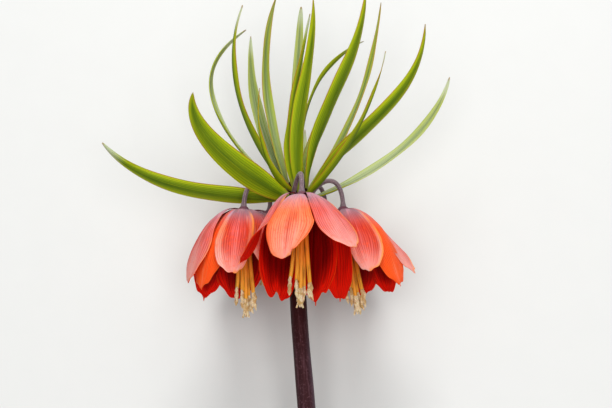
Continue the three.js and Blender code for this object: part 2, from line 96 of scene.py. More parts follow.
# Each bell: where its receptacle hangs; degrees that its mouth swings to the right and to the front; its
# stamens' length, lean and spread; and its tepals, outer and inner by turns: turn round the bell, how far out
# and down the tip comes, half the greatest width, how high the shoulder is pulled, how far the belly pulls
# outwards as a share of the length, degrees that the tip rolls one side outwards, how pointed the tip is, and
# how orange the outside is, the last two from 0 to 1.
BELLS = {
    "front": {
        "at": (2.5, -3.4, 27), "lean": (0, 0), "stamens": (56, (-1, 5), 4.6),
        "tepals": [
            (-14, 32, 35.5, 11.7, 0.5, 0.55, 0, 0, 0.62), (40.5, 37.5, 29.5, 11.6, 5, 0.55, 0, 0.5, 0.02),
            (110, 24, 52.5, 15, 1.5, 0.5, 0, 0.8, 0.14), (150, 19, 52.5, 15.5, 0.5, 0.5, 0, 0.8, 0.5),
            (-135, 22, 46, 17.5, 0.5, 0.5, 0, 0, 0.5), (-66, 33, 36, 9.6, 5, 0.4, 30, 0.6, 0.1),
        ],
    },
    "left": {
        "at": (-26.5, -7.3, 5), "lean": (-1.5, -2), "stamens": (54, (1.5, 2), 3.9),
        "tepals": [
            (-5, 30.5, 34.5, 11.4, 1, 0.55, 0, 0, 0.3), (-47, 26, 41.5, 11, 2.5, 0.55, 0, 0.5, 0.97),
            (-68, 27, 38.5, 12, 3, 0.55, 0, 0.1, 0.04), (-132, 25.5, 44, 14, 4, 0.55, 0, 0.9, 0.5),
            (-178, 22, 45, 14.5, 3, 0.5, 0, 0.9, 0.5), (52, 18, 29, 12.5, 2, 0.55, 0, 0.5, 0.3),
        ],
    },
    "right": {
        "at": (23, -7.3, 5), "lean": (5, -2), "stamens": (53, (7.5, 2), 3.7),
        "tepals": [
            (14.5, 31, 34.5, 12.2, 1, 0.55, 0, 0, 0.28), (54, 29.8, 41.5, 11.6, 3.5, 0.55, 0, 0.6, 1),
            (84, 32.3, 34.5, 10.8, 2.5, 0.5, 17, 0.9, 0.08), (126, 26, 40.5, 14, 3, 0.55, 0, 0.3, 0.5),
            (168, 22, 45, 15, 3, 0.5, 0, 0.9, 0.5), (-98, 18, 42, 14, 2, 0.55, 0, 0.5, 0.5),
        ],
    },
    "back_left": {
        "at": (-14, -4.5, -24), "lean": (-9, -13), "stamens": (37, (-5, -8), 4.2),
        "tepals": [
            (-125, 26, 38, 11.5, 4, 0.5, 0, 0.4, 0.3), (-75, 24, 38, 12, 4, 0.5, 0, 0.5, 0.6),
            (-20, 13, 36, 11, 2, 0.5, 0, 0.6, 0.4), (45, 15, 36, 11, 2, 0.5, 0, 0.6, 0.6),
            (120, 23, 38, 12, 4, 0.5, 0, 0.5, 0.2), (178, 25.7, 37, 12, 4, 0.5, 0, 0.4, 0.5),
        ],
    },
    "back_right": {
        "at": (14.5, -4.5, -22), "lean": (9, -13), "stamens": (43, (8, -8), 4.2),
        "tepals": [
            (125, 26, 38, 11.5, 4, 0.5, 0, 0.4, 0.2), (75, 24, 38, 12, 4, 0.5, 0, 0.5, 0.6),
            (20, 12, 36, 11, 2, 0.5, 0, 0.6, 0.4), (-45, 15, 36, 11, 2, 0.5, 0, 0.6, 0.6),
            (-120, 23, 38, 12, 4, 0.5, 0, 0.5, 0.3), (-178, 25.3, 37, 12, 4, 0.5, 0, 0.4, 0.5),
        ],
    },
}

# Ends that aren't even: the bell and petal, then the place across its end of its lowest corner and of a tear,
# from -1 to 1, how fast the end slants up from that corner, and how far the tear steps back, as shares of the
# length. NO_TEAR is a place past the petal's side.
NO_TEAR = 2
TEARS = {
    ("front", 0): (-0.36, 0.24, 0.055, 0.05),
    ("left", 0): (0.05, NO_TEAR, 0, 0),
    ("right", 0): (0.3, NO_TEAR, 0.012, 0),
}
# Petals that lie further out in their bell than their whorl puts them, or deeper: how much further, in mm.
TUCKS = {("front", 4): -2.4, ("front", 5): 1, ("right", 2): -1.6, ("right", 3): -1.5}
# Ends that are split in two: the place across and how deep, as a share of the length.
SPLITS = {("front", 4): (0.04, 0.065), ("front", 3): (-0.3, 0.03)}
WHORL = ["front", "left", "back_left", "back_right", "right"]
# How far apart bells begin to give way to each other, and the least that each keeps from the middle between
# them and from the stem's middle line.
PRESS_START, PRESS_CLEAR, STEM_CLEAR = 5, 0.65, 6.2
HEART_DEPTH = 27  # from a receptacle down to the part of the bell that presses on its neighbours

OVARY_LENGTH, OVARY_RADIUS, OVARY_TAPER = 9, 1.9, 1.15
STYLE_START, STYLE_SHORT = 1, 4  # mm that it begins inside the ovary, and stops short of the lobes' ends
STYLE_RADIUS = 0.72
STIGMA_LENGTH, STIGMA_RADIUS, STIGMA_SPREAD = 4.8, 0.62, 1.7
FILAMENT_REACH = (0.3, 1.05, 0.5, 0.4, 1.1, 0.5)  # how far each leans out, as shares of the spread
FILAMENT_SHORT = (0, 3, 2, 2, 6, 4)  # mm that each stops short of the longest
FILAMENT_RING = 1.5  # how far from the bell's axis they spring
FILAMENT_RADIUS, FILAMENT_TAPER, FILAMENT_FLAT = 1.3, 0.35, 0.8
ANTHER_LENGTH, ANTHER_RADIUS, ANTHER_OVERLAP = 9, 0.85, 0.8
ANTHER_SAG, ANTHER_LAG = 1.3, 1.2  # how far an anther leans in or out, and one of its lobes stays behind
STAMEN_RINGS, OVARY_SIDES, THREAD_SIDES, STIGMA_SIDES, ANTHER_SIDES = 22, 14, 12, 10, 12

TIERS = [(-1, 6.2), (1.6, 5.9), (4.2, 5.2)]  # height and radius of the rings where leaves spring
LEAF_BASE_SHARE, LEAF_WIDEST = 0.36, 0.3  # width of its base, as a share, and where along it is widest
LEAF_SPRING = 0.3  # mm that its base stays outside its ring
LEAF_RIPPLE, LEAF_MIDRIB = 0.3, 0.25
LEAF_ROWS, LEAF_COLUMNS = 72, 14

# Each leaf: tier, turn of its base, half its greatest width, taper (under 1 it ends blunt, over 1 it is drawn
# out), roll at base, middle and tip, how deeply it is channelled, and the points that its middle line passes
# at one third, two thirds and all of its length.
LEAVES = [
    (0, -113, 4.7, 0.6, (-30, -60, -50), 0.3, [(-37, 1.8, -5), (-70.5, 10, -9), (-99, 30, -13)]),
    (0, -44, 6.4, 0.75, (-66, -62, -60), 0.35, [(-26.5, 11, 15), (-45.5, 28, 24), (-51, 47.5, 29)]),
    (1, -95, 3.5, 0.5, (0, 0, 0), 0.3, [(-32, 29.5, -9), (-44.5, 61, -14), (-26, 88, -10)]),
    (2, -70, 4.1, 0.5, (0, 0, 0), 0.35, [(-23, 31, 6), (-32, 62.5, 9), (-27.5, 96.5, 8)]),
    (1, -14, 2.9, 1.5, (0, 25, 50), 0.4, [(-13, 11.5, 18), (-18.5, 30, 22), (-18.5, 51.5, 20)]),
    (1, -150, 4.9, 0.75, (0, 0, 0), 0.25, [(-16, 30.5, -16), (-23, 60, -24), (-24, 88.5, -27)]),
    (2, -125, 3.5, 0.6, (0, 0, 0), 0.25, [(-13, 38, -11), (-16.5, 73, -17), (-10.5, 108, -18)]),
    (2, 180, 3, 0.45, (0, 0, 0), 0.3, [(-0.5, 41, -13), (0.5, 74, -20), (2, 103, -22)]),
    (2, -14, 3.5, 0.75, (0, 0, 0), 0.3, [(-3, 34, 2), (1, 63, 0.5), (6.5, 94.5, -2)]),
    (1, 17, 3.9, 0.8, (0, 0, 0), 0.4, [(1, 35.5, 12), (6, 67, 12), (8, 101.5, 8)]),
    (2, 116, 3.1, 0.6, (0, 40, 60), 0.3, [(3, 36, -7), (13, 64, -11), (34, 82.5, -12)]),
    (2, 66, 4.7, 0.75, (-15, 25, 35), 0.35, [(14, 38, 9), (27, 69, 11), (34.5, 103, 8)]),
    (1, 136, 2.9, 0.7, (-15, -15, -30), 0.3, [(25, 35, -8), (37, 68.5, -14), (43, 104, -17)]),
    (0, 41, 3.9, 1.5, (0, -20, -25), 0.5, [(23.5, 19.5, 17), (36.5, 44, 24), (44, 69, 25)]),
    (1, 90, 4, 0.8, (0, 50, 50), 0.45, [(29, 28, 6), (53, 53.5, 9), (64.5, 87, 7)]),
    (0, 112, 3.6, 0.55, (-10, -35, -45), 0.35, [(35.5, 13.5, -11), (62.5, 36.5, -19), (78.5, 67, -27)]),
    (0, 178, 4.6, 0.75, (0, 0, 0), 0.35, [(1, 6, -27), (3, 20, -48), (4, 46, -62)]),
    (1, 168, 3.6, 0.75, (0, 0, 0), 0.35, [(9, 32, -20), (19.5, 62, -38), (27, 82, -48)]),
]

VIEW_CENTRE = (4.5, -3.5, 0)  # the point of the growing plant in the middle of the view
VIEW_RISE = 9  # degrees that the view looks up at the growing plant
VIEW_WIDTH = 306  # mm across the view at that point
SENSOR_WIDTH = 36

# In metres: half the floor's side, and the lights' places and widths.
FLOOR_REACH = 3.0
HEAD_LIGHT, HEAD_LIGHT_SIZE = (0.05, 1.15, 0.85), 0.7
OVER_LIGHT, OVER_LIGHT_SIZE = (0.1, -0.3, 1.25), 0.8

# ------------------------------ sizes and colours to set


def colour(name, description, default):
    return FloatVectorProperty(name=name, description=description, subtype="COLOR", default=default, min=0,
                               max=1)


def amount(name, description, default, least, most, unit="NONE"):
    return FloatProperty(name=name, description=description, default=default, min=least, max=most, unit=unit)


class StemLook(bpy.types.PropertyGroup):
    # Dark skin: the stem's own dark maroon, deepened with painted shadow of the bells.
    dark: colour("Dark skin", "Colour of the stem right under the flowers", (0.018, 0.0018, 0.0012))
    bloomed: colour("Bloomed skin", "Colour of the stem lower down, under its bloom", (0.04, 0.0155, 0.0185))
    # Lilac side: a painted highlight down one side of the stem, where the light falls.
    lilac_highlight: colour("Lilac side", "Colour of the bloom down one side of the stem", (0.13, 0.085, 0.12))
    speckle: colour("Speckles", "Colour of the fine speckles and streaks", (0.14, 0.062, 0.075))
    pith: colour("Cut end", "Colour of the fresh cut at the stem's end", (0.5, 0.55, 0.26))
    grain: colour("Grain", "Pale grain of the cut end", (0.7, 0.72, 0.45))
    rind: colour("Rind", "Green ring inside the skin of the cut end", (0.3, 0.36, 0.1))
    stalk: colour("Stalk", "Colour of the arched flower stalks", (0.26, 0.165, 0.19))
    stalk_foot: colour("Stalk's foot", "Colour of a stalk where it leaves the crown", (0.06, 0.05, 0.02))
    sides: IntProperty(name="Sides", description="Faces round the stem", default=40, min=12, max=96)


class PetalLook(bpy.types.PropertyGroup):
    pink: colour("Pink", "Outside of a pale pink petal", (0.79, 0.185, 0.18))
    coral: colour("Coral", "Outside of a coral red petal", (0.6, 0.03, 0.006))
    apricot: colour("Apricot", "Outside of an apricot petal", (0.92, 0.22, 0.08))
    flame: colour("Flame", "Outside of a flame red petal", (0.98, 0.085, 0.001))
    vein: colour("Veins", "Lengthwise veins on the outside", (0.42, 0.014, 0.006))
    # Bloom: the shoulders' own waxy bloom, lightened with a painted sky highlight.
    bloom: colour("Bloom", "Waxy bloom on the shoulders", (0.58, 0.28, 0.34))
    claw: colour("Claw", "Dark narrow foot of a petal", (0.1, 0.03, 0.05))
    tip: colour("Tips", "Pale ends and margins of the petals", (0.9, 0.37, 0.31))
    # Edges: painted glow of light shining through the thin margins.
    edge: colour("Edges", "Thin bright line along the margins", (0.95, 0.27, 0.03))
    inside: colour("Inside", "Inside of the bells", (0.3, 0.0006, 0.0002))
    throat: colour("Throat", "Inside of the bells, at the foot of the petals", (0.07, 0.006, 0.008))
    ring: colour("Ring", "Dark ring round the nectar", (0.05, 0.004, 0.004))
    nectar: colour("Nectar", "Drop of nectar at the foot of each petal", (0.8, 0.76, 0.7))
    thickness: amount("Thickness", "Thickness in the middle of a petal, in millimetres", 0.55, 0.2, 0.8)


class StamenLook(bpy.types.PropertyGroup):
    filament: colour("Filaments", "Colour of the filaments near the anthers", (0.95, 0.43, 0.03))
    # Filament roots: painted shade and red light reflected from inside the bell.
    root: colour("Filament roots", "Colour of the filaments inside the bell", (0.85, 0.2, 0.006))
    anther: colour("Anthers", "Colour of the anthers", (0.8, 0.56, 0.27))
    pollen: colour("Pollen", "Colour of the pollen grains", (0.94, 0.78, 0.53))
    # Patches on the anthers: orange-brown painted shade.
    shade_patches: colour("Rust", "Patches on the anthers", (0.55, 0.29, 0.06))


class LeafLook(bpy.types.PropertyGroup):
    under: colour("Underside", "Underside of the leaves", (0.25, 0.34, 0.001))
    middle: colour("Middle", "Darker channel along the middle", (0.08, 0.145, 0.0005))
    margin: colour("Margins", "Yellow-green bands beside the edges", (0.43, 0.47, 0.004))
    edge: colour("Edges", "Thin reddish line along the edges", (0.42, 0.17, 0.015))
    # Upper side: painted sky sheen on the upper side and on the blunt ends.
    upper: colour("Upper side", "Waxy bloom on the upper side and the blunt ends", (0.56, 0.61, 0.4))
    tip: colour("Tips", "Drying tips", (0.45, 0.34, 0.18))
    thickness: amount("Thickness", "Thickness along the middle of a leaf, in millimetres", 0.65, 0.2, 0.9)


class StageLook(bpy.types.PropertyGroup):
    floor: colour("Floor", "Colour of the plain floor", (0.7, 0.7, 0.68))
    sky_colour: colour("Sky colour", "Colour of the light from all round", (0.93, 0.96, 1.0))
    sky: amount("Sky", "Strength of the light from all round", 0.3, 0, 3)
    head: amount("Head light", "Power of the soft light beyond the leaves", 16, 0, 200, "POWER")
    over: amount("Overhead light", "Power of the soft light above the camera", 11, 0, 200, "POWER")
    distance: amount("Camera distance", "From the camera to the flower", 1.2, 0.4, 4, "LENGTH")


class PlantSettings(bpy.types.PropertyGroup):
    stem: PointerProperty(type=StemLook, name="Stem", description="Looks of the stem and the flower stalks")
    petals: PointerProperty(type=PetalLook, name="Petals", description="Looks of the bells")
    stamens: PointerProperty(type=StamenLook, name="Stamens", description="Looks of stamens and styles")
    leaves: PointerProperty(type=LeafLook, name="Leaves", description="Looks of the leaves")
    stage: PointerProperty(type=StageLook, name="Stage", description="Floor, lights and camera")


# ------------------------------ shaders

MESH_VALUES = ("along", "across", "rim", "tone")  # stored on the points of every mesh


def both_ways(operation):
    """A Math node for an operator, and one for its reflected form, so that 1 - mask works."""
    return (
        lambda self, other: self.maths(operation, self, other),
        lambda self, other: self.maths(operation, other, self),
    )


class Wire:
    """A socket of a shader's nodes, for maths written as Python expressions."""

    def __init__(self, tree, socket):
        self.tree = tree
        self.socket = socket

    def maths(self, operation, *values):
        return node(self.tree, "ShaderNodeMath", {"operation": operation}, dict(enumerate(values)))

    __add__, __radd__ = both_ways("ADD")
    __sub__, __rsub__ = both_ways("SUBTRACT")
    __mul__, __rmul__ = both_ways("MULTIPLY")
    __pow__, __rpow__ = both_ways("POWER")

    def __abs__(self):
        return self.maths("ABSOLUTE", self)

    def lines(self):
        """Soft lines, one wherever the value grows by a whole turn."""
        return (self.maths("SINE", self) * 0.5 + 0.5) ** 2

    def ramp(self, start, end):
        """0 at start, 1 at end, and smooth between them."""
        return node(
            self.tree, "ShaderNodeMapRange", {"interpolation_type": "SMOOTHSTEP", "clamp": True},
            {"Value": self, "From Min": start, "From Max": end},
        )

    def fall(self, start, end):
        """1 at start, 0 at end, and smooth between them."""
        return 1 - self.ramp(start, end)


def node(tree, kind, settings=None, sockets=None, output=0):
    """Adds one node: its settings first, then the values or wires of its sockets."""
    made = tree.nodes.new(kind)
    for name, value in (settings or {}).items():
        setattr(made, name, value)
    for name, value in (sockets or {}).items():
        if isinstance(value, Wire):
            tree.links.new(value.socket, made.inputs[name])
        else:
            made.inputs[name].default_value = value
    return Wire(tree, made.outputs[output])


def shade(tint, share, lift=0.0):
    """A darker or brighter colour: a share of it, and a little grey."""
    return tuple(value * share + lift for value in tint)


def opaque(tint):
    """What a colour socket takes: a wire as it is, or a colour with its alpha."""
    return tint if isinstance(tint, Wire) else (*tint, 1.0)


class Finish:
    """One material: a Principled shader whose colour is laid on coat by coat."""

    def __init__(self, name, **constants):
        self.material = bpy.data.materials.new(name)
        self.material.use_nodes = True
        self.tree = self.material.node_tree
        self.shader = next(n for n in self.tree.nodes if n.type == "BSDF_PRINCIPLED")
        self.paint = None
        for socket, value in constants.items():
            self.shader.inputs[socket.replace("_", " ")].default_value = value

    def values(self, *names):
        """Values stored on the mesh, by their names in MESH_VALUES."""
        return [
            node(self.tree, "ShaderNodeAttribute", {"attribute_name": name, "attribute_type": "GEOMETRY"},
                 output="Fac")
            for name in names
        ]

    def place(self):
        return node(self.tree, "ShaderNodeTexCoord", output="Object")

    def noise(self, vector, scale=1.0, detail=3.0, roughness=0.5):
        return node(self.tree, "ShaderNodeTexNoise", None,
                    {"Vector": vector, "Scale": scale, "Detail": detail, "Roughness": roughness})

    def strokes(self, wide, long, tone=0.0, shift=(0, 0), **settings):
        """Noise drawn out along a piece, and shifted by its tone, so that no two are streaked alike."""
        sockets = {"X": wide + tone * shift[0], "Y": long, "Z": tone * shift[1]}
        return self.noise(node(self.tree, "ShaderNodeCombineXYZ", None, sockets), **settings)

    def mix(self, mask, first, second):
        """One colour turning to the other as the mask goes from 0 to 1."""
        factor, a, b, result = 0, 6, 7, 2  # where a Mix node keeps its colour sockets
        return node(self.tree, "ShaderNodeMix", {"data_type": "RGBA", "clamp_factor": True},
                    {factor: mask, a: opaque(first), b: opaque(second)}, output=result)

    def coat(self, mask, tint):
        """Lays one more colour over the paint, where the mask is above 0."""
        self.paint = self.mix(mask, self.paint, tint)

    def bump(self, height, distance, strength=0.6):
        made = node(self.tree, "ShaderNodeBump", None,
                    {"Height": height, "Distance": distance, "Strength": strength})
        self.tree.links.new(made.socket, self.shader.inputs["Normal"])

    def done(self, roughness):
        self.tree.links.new(self.paint.socket, self.shader.inputs["Base Color"])
        self.tree.links.new(roughness.socket, self.shader.inputs["Roughness"])
        return self.material


def petal_outside(look):
    skin = Finish("petal_outside", Subsurface_Weight=0.3, Subsurface_Radius=(1.0, 0.25, 0.1),
                  Subsurface_Scale=0.0007, Specular_IOR_Level=0.16)
    along, across, rim, tone = skin.values(*MESH_VALUES)
    sway = skin.strokes(across * 2, along * 1.6, tone, (31, 17), detail=2.0)
    streak = skin.strokes(across * 7, along * 0.9, tone, (31, 17), detail=4.0)
    fine = skin.strokes(across * 34, along * 4, tone, (13, 5), roughness=0.6)
    cloud = skin.strokes(across * 1.3, along * 2.5, tone, (9, 23), detail=2.0)
    vein = (across * 60 + sway * 7).lines() * (0.25 + fine.ramp(0.38, 0.6) * 0.75)

    # From pink through coral and apricot to flame, by the petal's tone and a little by the place on it.
    hue = tone + (cloud - 0.5) * 0.5 + (streak - 0.5) * 0.45 + (abs(across) - 0.2) * 0.32
    hue = hue - along.fall(0.15, 0.4) * 0.12
    skin.paint = skin.mix(hue.ramp(0.0, 0.35), look.pink, look.coral)
    skin.coat(hue.ramp(0.35, 0.68), look.apricot)
    skin.coat(hue.ramp(0.66, 1.0), look.flame)
    cool = hue.fall(0.55, 0.95)
    coral = hue.ramp(0.05, 0.25) * hue.fall(0.42, 0.55)

    # Pale end, streaks and margins, least on a coral petal.
    pale = along.ramp(0.5, 0.95) * (0.4 + cloud.ramp(0.3, 0.7) * 0.6) + streak.ramp(0.5, 0.75) * 0.35
    pale = pale * (1 - coral * along.fall(0.6, 1.0) * 0.86)
    pale = pale + rim.fall(0.5, 4.0) * hue.fall(0.45, 0.7) * 0.16
    skin.coat(pale * (cool * 0.97 + 0.03), look.tip)

    # Veins down the length, and flecks of flame.
    skin.coat(vein * along.ramp(0.05, 0.3) * along.fall(0.75, 1.0) * (coral * 0.35 + 0.65), look.vein)
    fleck = skin.noise(skin.place(), scale=420.0, roughness=0.65)
    skin.coat(fleck.ramp(0.5, 0.75) * along.ramp(0.2, 0.5) * 0.45, look.flame)

    # Waxy bloom with a painted sky highlight on the shoulder, painted highlight on its margins, then the dark
    # claw.
    bloom_and_highlight = along.fall(0.2, 0.56) * (0.55 + streak * 0.9) * (cool * 0.6 + 0.4)
    bloom_and_highlight = bloom_and_highlight + rim.fall(0.5, 3.0) * along.fall(0.25, 0.5) * 0.4
    skin.coat(bloom_and_highlight, skin.mix(coral, look.bloom, shade(look.bloom, 0.55)))
    skin.coat(vein * along.fall(0.3, 0.6) * 0.45, look.claw)
    skin.coat(along.fall(0.04, 0.22) * 0.85, look.claw)

    # Painted glow of light shining through the thin margins, broad on one side.
    painted_margin_glow = rim.fall(0.15, 2.2) * across.ramp(-0.1, 0.3) * cloud.ramp(0.36, 0.5) * cool * 0.8
    painted_margin_glow = painted_margin_glow + rim.fall(0.1, 0.4) * 0.1
    skin.coat(painted_margin_glow * along.ramp(0.2, 0.4), look.edge)
    skin.bump(streak * 0.5 + fine * 0.35 - vein * 0.5, 0.0006)
    return skin.done(0.5 + fine * 0.25)


def petal_inside(look):
    skin = Finish("petal_inside", Subsurface_Weight=0.5, Subsurface_Radius=(1.0, 0.05, 0.03),
                  Subsurface_Scale=0.001, Specular_IOR_Level=0.06)
    along, across, rim, tone = skin.values(*MESH_VALUES)
    streak = skin.strokes(across * 8, along, tone, (31, 17), detail=4.0)
    fine = skin.strokes(across * 34, along * 3, tone, (13, 5), roughness=0.6)
    vein = (across * 42 + streak * 7).lines()
    red, green, blue = look.inside
    deep, bright = shade(look.inside, 0.5), (min(1.0, red * 2.9), green * 15, blue * 5)
    skin.paint = skin.mix(streak.ramp(0.35, 0.65), deep, look.inside)

    # Light comes through the end and the margins, and through more of a pale petal.
    lit = (along + (abs(across) - 0.5) * 0.2).ramp(0.72, 1.0)
    lit = lit + rim.fall(0.5, 6.0) * along.ramp(0.4, 0.65) * 0.8 + tone.fall(0.1, 0.2) * along.ramp(0.4, 0.6)
    skin.coat(lit * (0.6 + streak * 0.5), bright)
    skin.coat(vein * fine.ramp(0.35, 0.55) * 0.6, deep)
    # Painted glow of light through the margins near the end.
    skin.coat(rim.fall(0.1, 0.5) * along.ramp(0.6, 0.9) * 0.2, look.edge)

    # The dark throat, and a drop of nectar in its ring at the foot of the petal.
    skin.coat(along.fall(0.12, 0.4) * 0.85, look.throat)
    from_well = (across ** 2 * 6 + ((along - 0.1) * 16) ** 2) ** 0.5
    skin.coat(from_well.fall(0.85, 1.15), look.ring)
    skin.coat(from_well.fall(0.5, 0.62), look.nectar)
    skin.bump(streak * 0.5 + fine * 0.3 - vein * 0.4, 0.0006)
    return skin.done(0.5 + fine * 0.25)


def leaf_skin(name, look, upper):
    skin = Finish(name, Subsurface_Weight=0.12, Subsurface_Radius=(0.5, 1.0, 0.1), Subsurface_Scale=0.0006,
                  Specular_IOR_Level=0.4 if upper else 0.12)
    along, across, rim, tone = skin.values(*MESH_VALUES)
    streak = skin.strokes(across * 6, along * 1.3, tone, (31, 17), detail=4.0)
    fine = skin.strokes(across * 26, along * 3, tone, (13, 5), detail=2.0, roughness=0.6)
    cloud = skin.strokes(across, along * 5, tone, (9, 23))
    vein = (across * 34 + streak * 3).lines()

    # Dark along the middle, yellow-green beside the edges, with fine lengthwise streaks.
    skin.paint = skin.mix(abs(across).fall(0.05, 0.75) * (0.5 + cloud * 0.8), look.under, look.middle)
    skin.coat(rim.fall(0.4, 2.0) * (0.35 + streak), look.margin)
    skin.coat(fine.ramp(0.45, 0.7) * streak.ramp(0.35, 0.65) * 0.7, look.margin)
    skin.coat(vein * (0.3 + fine * 0.4), look.middle)
    # Painted sky sheen on the upper side, more on some leaves than on others.
    if upper:
        sheen = (0.2 + tone * 0.5) * (0.3 + streak.ramp(0.3, 0.7) * 0.9) * (1 - along.ramp(0.35, 0.7) * 0.35)
        skin.coat(sheen - vein * 0.2, look.upper)

    # A thin red line along most leaves' edges, painted sheen on some blunt ends, and on all a dry tip and a
    # pale base.
    skin.coat(rim.fall(0.12, 0.55) * cloud.ramp(0.35, 0.55) * tone.fall(0.66, 0.72) * 0.8, look.edge)
    blunt = tone.ramp(0.43, 0.46) * (along + (streak - 0.5) * 0.1).ramp(0.84, 0.96)
    skin.coat(blunt * 0.85, look.upper)
    skin.coat((along + (cloud - 0.5) * 0.03).ramp(0.975, 0.995), look.tip)
    skin.coat(along.fall(0.0, 0.07), shade(look.margin, 0.5, 0.04))
    skin.bump(streak * 0.4 + fine * 0.4 - vein * 0.4, 0.0005)
    return skin.done((0.36 if upper else 0.46) + fine * 0.2)


def stem_skin(look):
    skin = Finish("stem_skin", Specular_IOR_Level=0.12, Specular_Tint=(1.0, 0.35, 0.35, 1.0))
    along, across = skin.values("along", "across")
    place = skin.place()
    speck = skin.noise(place, scale=900.0, roughness=0.7)
    patch = skin.noise(place, scale=130.0)
    streak = skin.strokes(across * 9, along * 22, detail=4.0, roughness=0.6)
    # Near-black under the flowers: the stem's own dark maroon with painted shadow of the bells.
    skin.paint = skin.mix(along.fall(0.6, 0.81) * (0.55 + patch * 0.8), look.dark, look.bloomed)
    # Painted lilac highlight down one side, where the light falls.
    skin.coat(across.ramp(0.6, 1.0) * along.fall(0.62, 0.76) * (0.3 + patch * 0.8), look.lilac_highlight)
    skin.coat(speck.ramp(0.52, 0.68) * along.fall(0.6, 0.82) * 0.65, look.speckle)
    skin.coat(streak.ramp(0.48, 0.68) * along.fall(0.62, 0.82) * 0.5, look.speckle)
    skin.bump(streak * 0.7 + speck * 0.3, 0.0006)
    return skin.done(0.42 + patch * 0.25)


def cut_face(look):
    skin = Finish("stem_cut", Specular_IOR_Level=0.5)
    rim, = skin.values("rim")
    grain = skin.noise(skin.place(), scale=1800.0, roughness=0.7)
    skin.paint = skin.mix(grain.ramp(0.4, 0.7) * 0.6, look.pith, look.grain)
    skin.coat(rim.ramp(0.6, 0.75) * 0.7, look.rind)
    skin.coat(rim.ramp(0.86, 0.97), look.bloomed)
    skin.bump(grain, 0.0003, 0.7)
    return skin.done(0.3 + grain * 0.3)


def stalk_skin(look):
    skin = Finish("stalk_skin", Specular_IOR_Level=0.45, Sheen_Weight=0.25, Sheen_Roughness=0.4)
    along, across = skin.values("along", "across")
    streak = skin.strokes(across * 8, along * 3, roughness=0.6)
    speck = skin.noise(skin.place(), scale=1300.0, detail=2.0)
    skin.paint = skin.mix(streak.ramp(0.35, 0.7), shade(look.stalk, 0.3), look.stalk)
    skin.coat(speck.ramp(0.5, 0.7) * 0.4, shade(look.stalk, 1.7))
    skin.coat(along.fall(0.0, 0.25) * 0.6, look.stalk_foot)
    skin.bump(streak, 0.0004)
    return skin.done(0.38 + speck * 0.25)


def filament_skin(look):
    skin = Finish("filament_skin", Subsurface_Weight=0.3, Subsurface_Radius=(1.0, 0.5, 0.2),
                  Subsurface_Scale=0.0007, Specular_IOR_Level=0.3)
    along, across, tone = skin.values("along", "across", "tone")
    streak = skin.strokes(across * 5, along * 4, tone, (19, 7))
    # Redder and darker towards the roots: painted shade and red light reflected from inside the bell.
    skin.paint = skin.mix((along + (streak - 0.5) * 0.6).ramp(0.5, 1.05), look.root, look.filament)
    skin.coat(streak.ramp(0.46, 0.66) * 0.7, shade(look.root, 0.34))
    skin.bump(streak, 0.0003)
    return skin.done(0.45 + streak * 0.2)


def anther_skin(look):
    skin = Finish("anther_skin", Subsurface_Weight=0.2, Subsurface_Radius=(1.0, 0.6, 0.3),
                  Subsurface_Scale=0.0007, Specular_IOR_Level=0.3)
    grain = skin.noise(skin.place(), scale=2600.0, detail=2.0, roughness=0.7)
    patch = skin.noise(skin.place(), scale=330.0)
    skin.paint = skin.mix(grain.ramp(0.4, 0.55), look.anther, look.pollen)
    # Orange-brown patches of painted shade.
    skin.coat(patch.ramp(0.44, 0.6) * 0.75, look.shade_patches)
    skin.bump(grain, 0.0005, 0.9)
    return skin.done(0.7 + grain * 0.2)


# ------------------------------ meshes

UP = np.array([0, 1.0, 0])  # in the growing plant
ROW_GATHER = 1.7  # how much closer a blade's rows are at its tip
RIM_THICKNESS, RIM_REACH = 0.35, 0.35  # a blade's thickness at its rim, and how far in it thins, as shares
CURVE_STEPS = 60  # between two points of a route, before the curve is cut into even steps


def laid(points):
    """Points of the growing plant, in mm, to where they lie, in metres."""
    turn = np.array(LAID_TURN.normalized().to_matrix())
    return (np.asarray(points) @ turn.T + np.array(LAID_SHIFT)) * MILLIMETRE


def unit(vectors):
    return vectors / np.maximum(np.linalg.norm(vectors, axis=-1, keepdims=True), 1e-9)


def smooth(x):
    """0 up to 0, 1 from 1 on, and smooth between them."""
    x = np.clip(x, 0, 1)
    return x * x * (3 - 2 * x)


def outward(turn):
    """The level direction that a turn faces: to the front at 0, to the right at a quarter."""
    return np.array([math.sin(turn), 0, math.cos(turn)])


def sideways(turn):
    """The level direction in which a growing turn moves."""
    return np.array([math.cos(turn), 0, -math.sin(turn)])


def bezier(s, a, b, c, d):
    """From a at 0 to d at 1, pulled towards b and then towards c."""
    return (1 - s) ** 3 * a + 3 * (1 - s) ** 2 * s * b + 3 * (1 - s) * s * s * c + s ** 3 * d


def through(points, s):
    """The curve through four points that reaches them at 0, one third, two thirds and all of its length."""
    weights = [
        (1 - 3 * s) * (2 - 3 * s) * (1 - s) / 2,
        9 * s * (2 - 3 * s) * (1 - s) / 2,
        9 * s * (3 * s - 1) * (1 - s) / 2,
        s * (3 * s - 1) * (3 * s - 2) / 2,
    ]
    return sum(weight[..., None] * np.array(p, float) for weight, p in zip(weights, points))


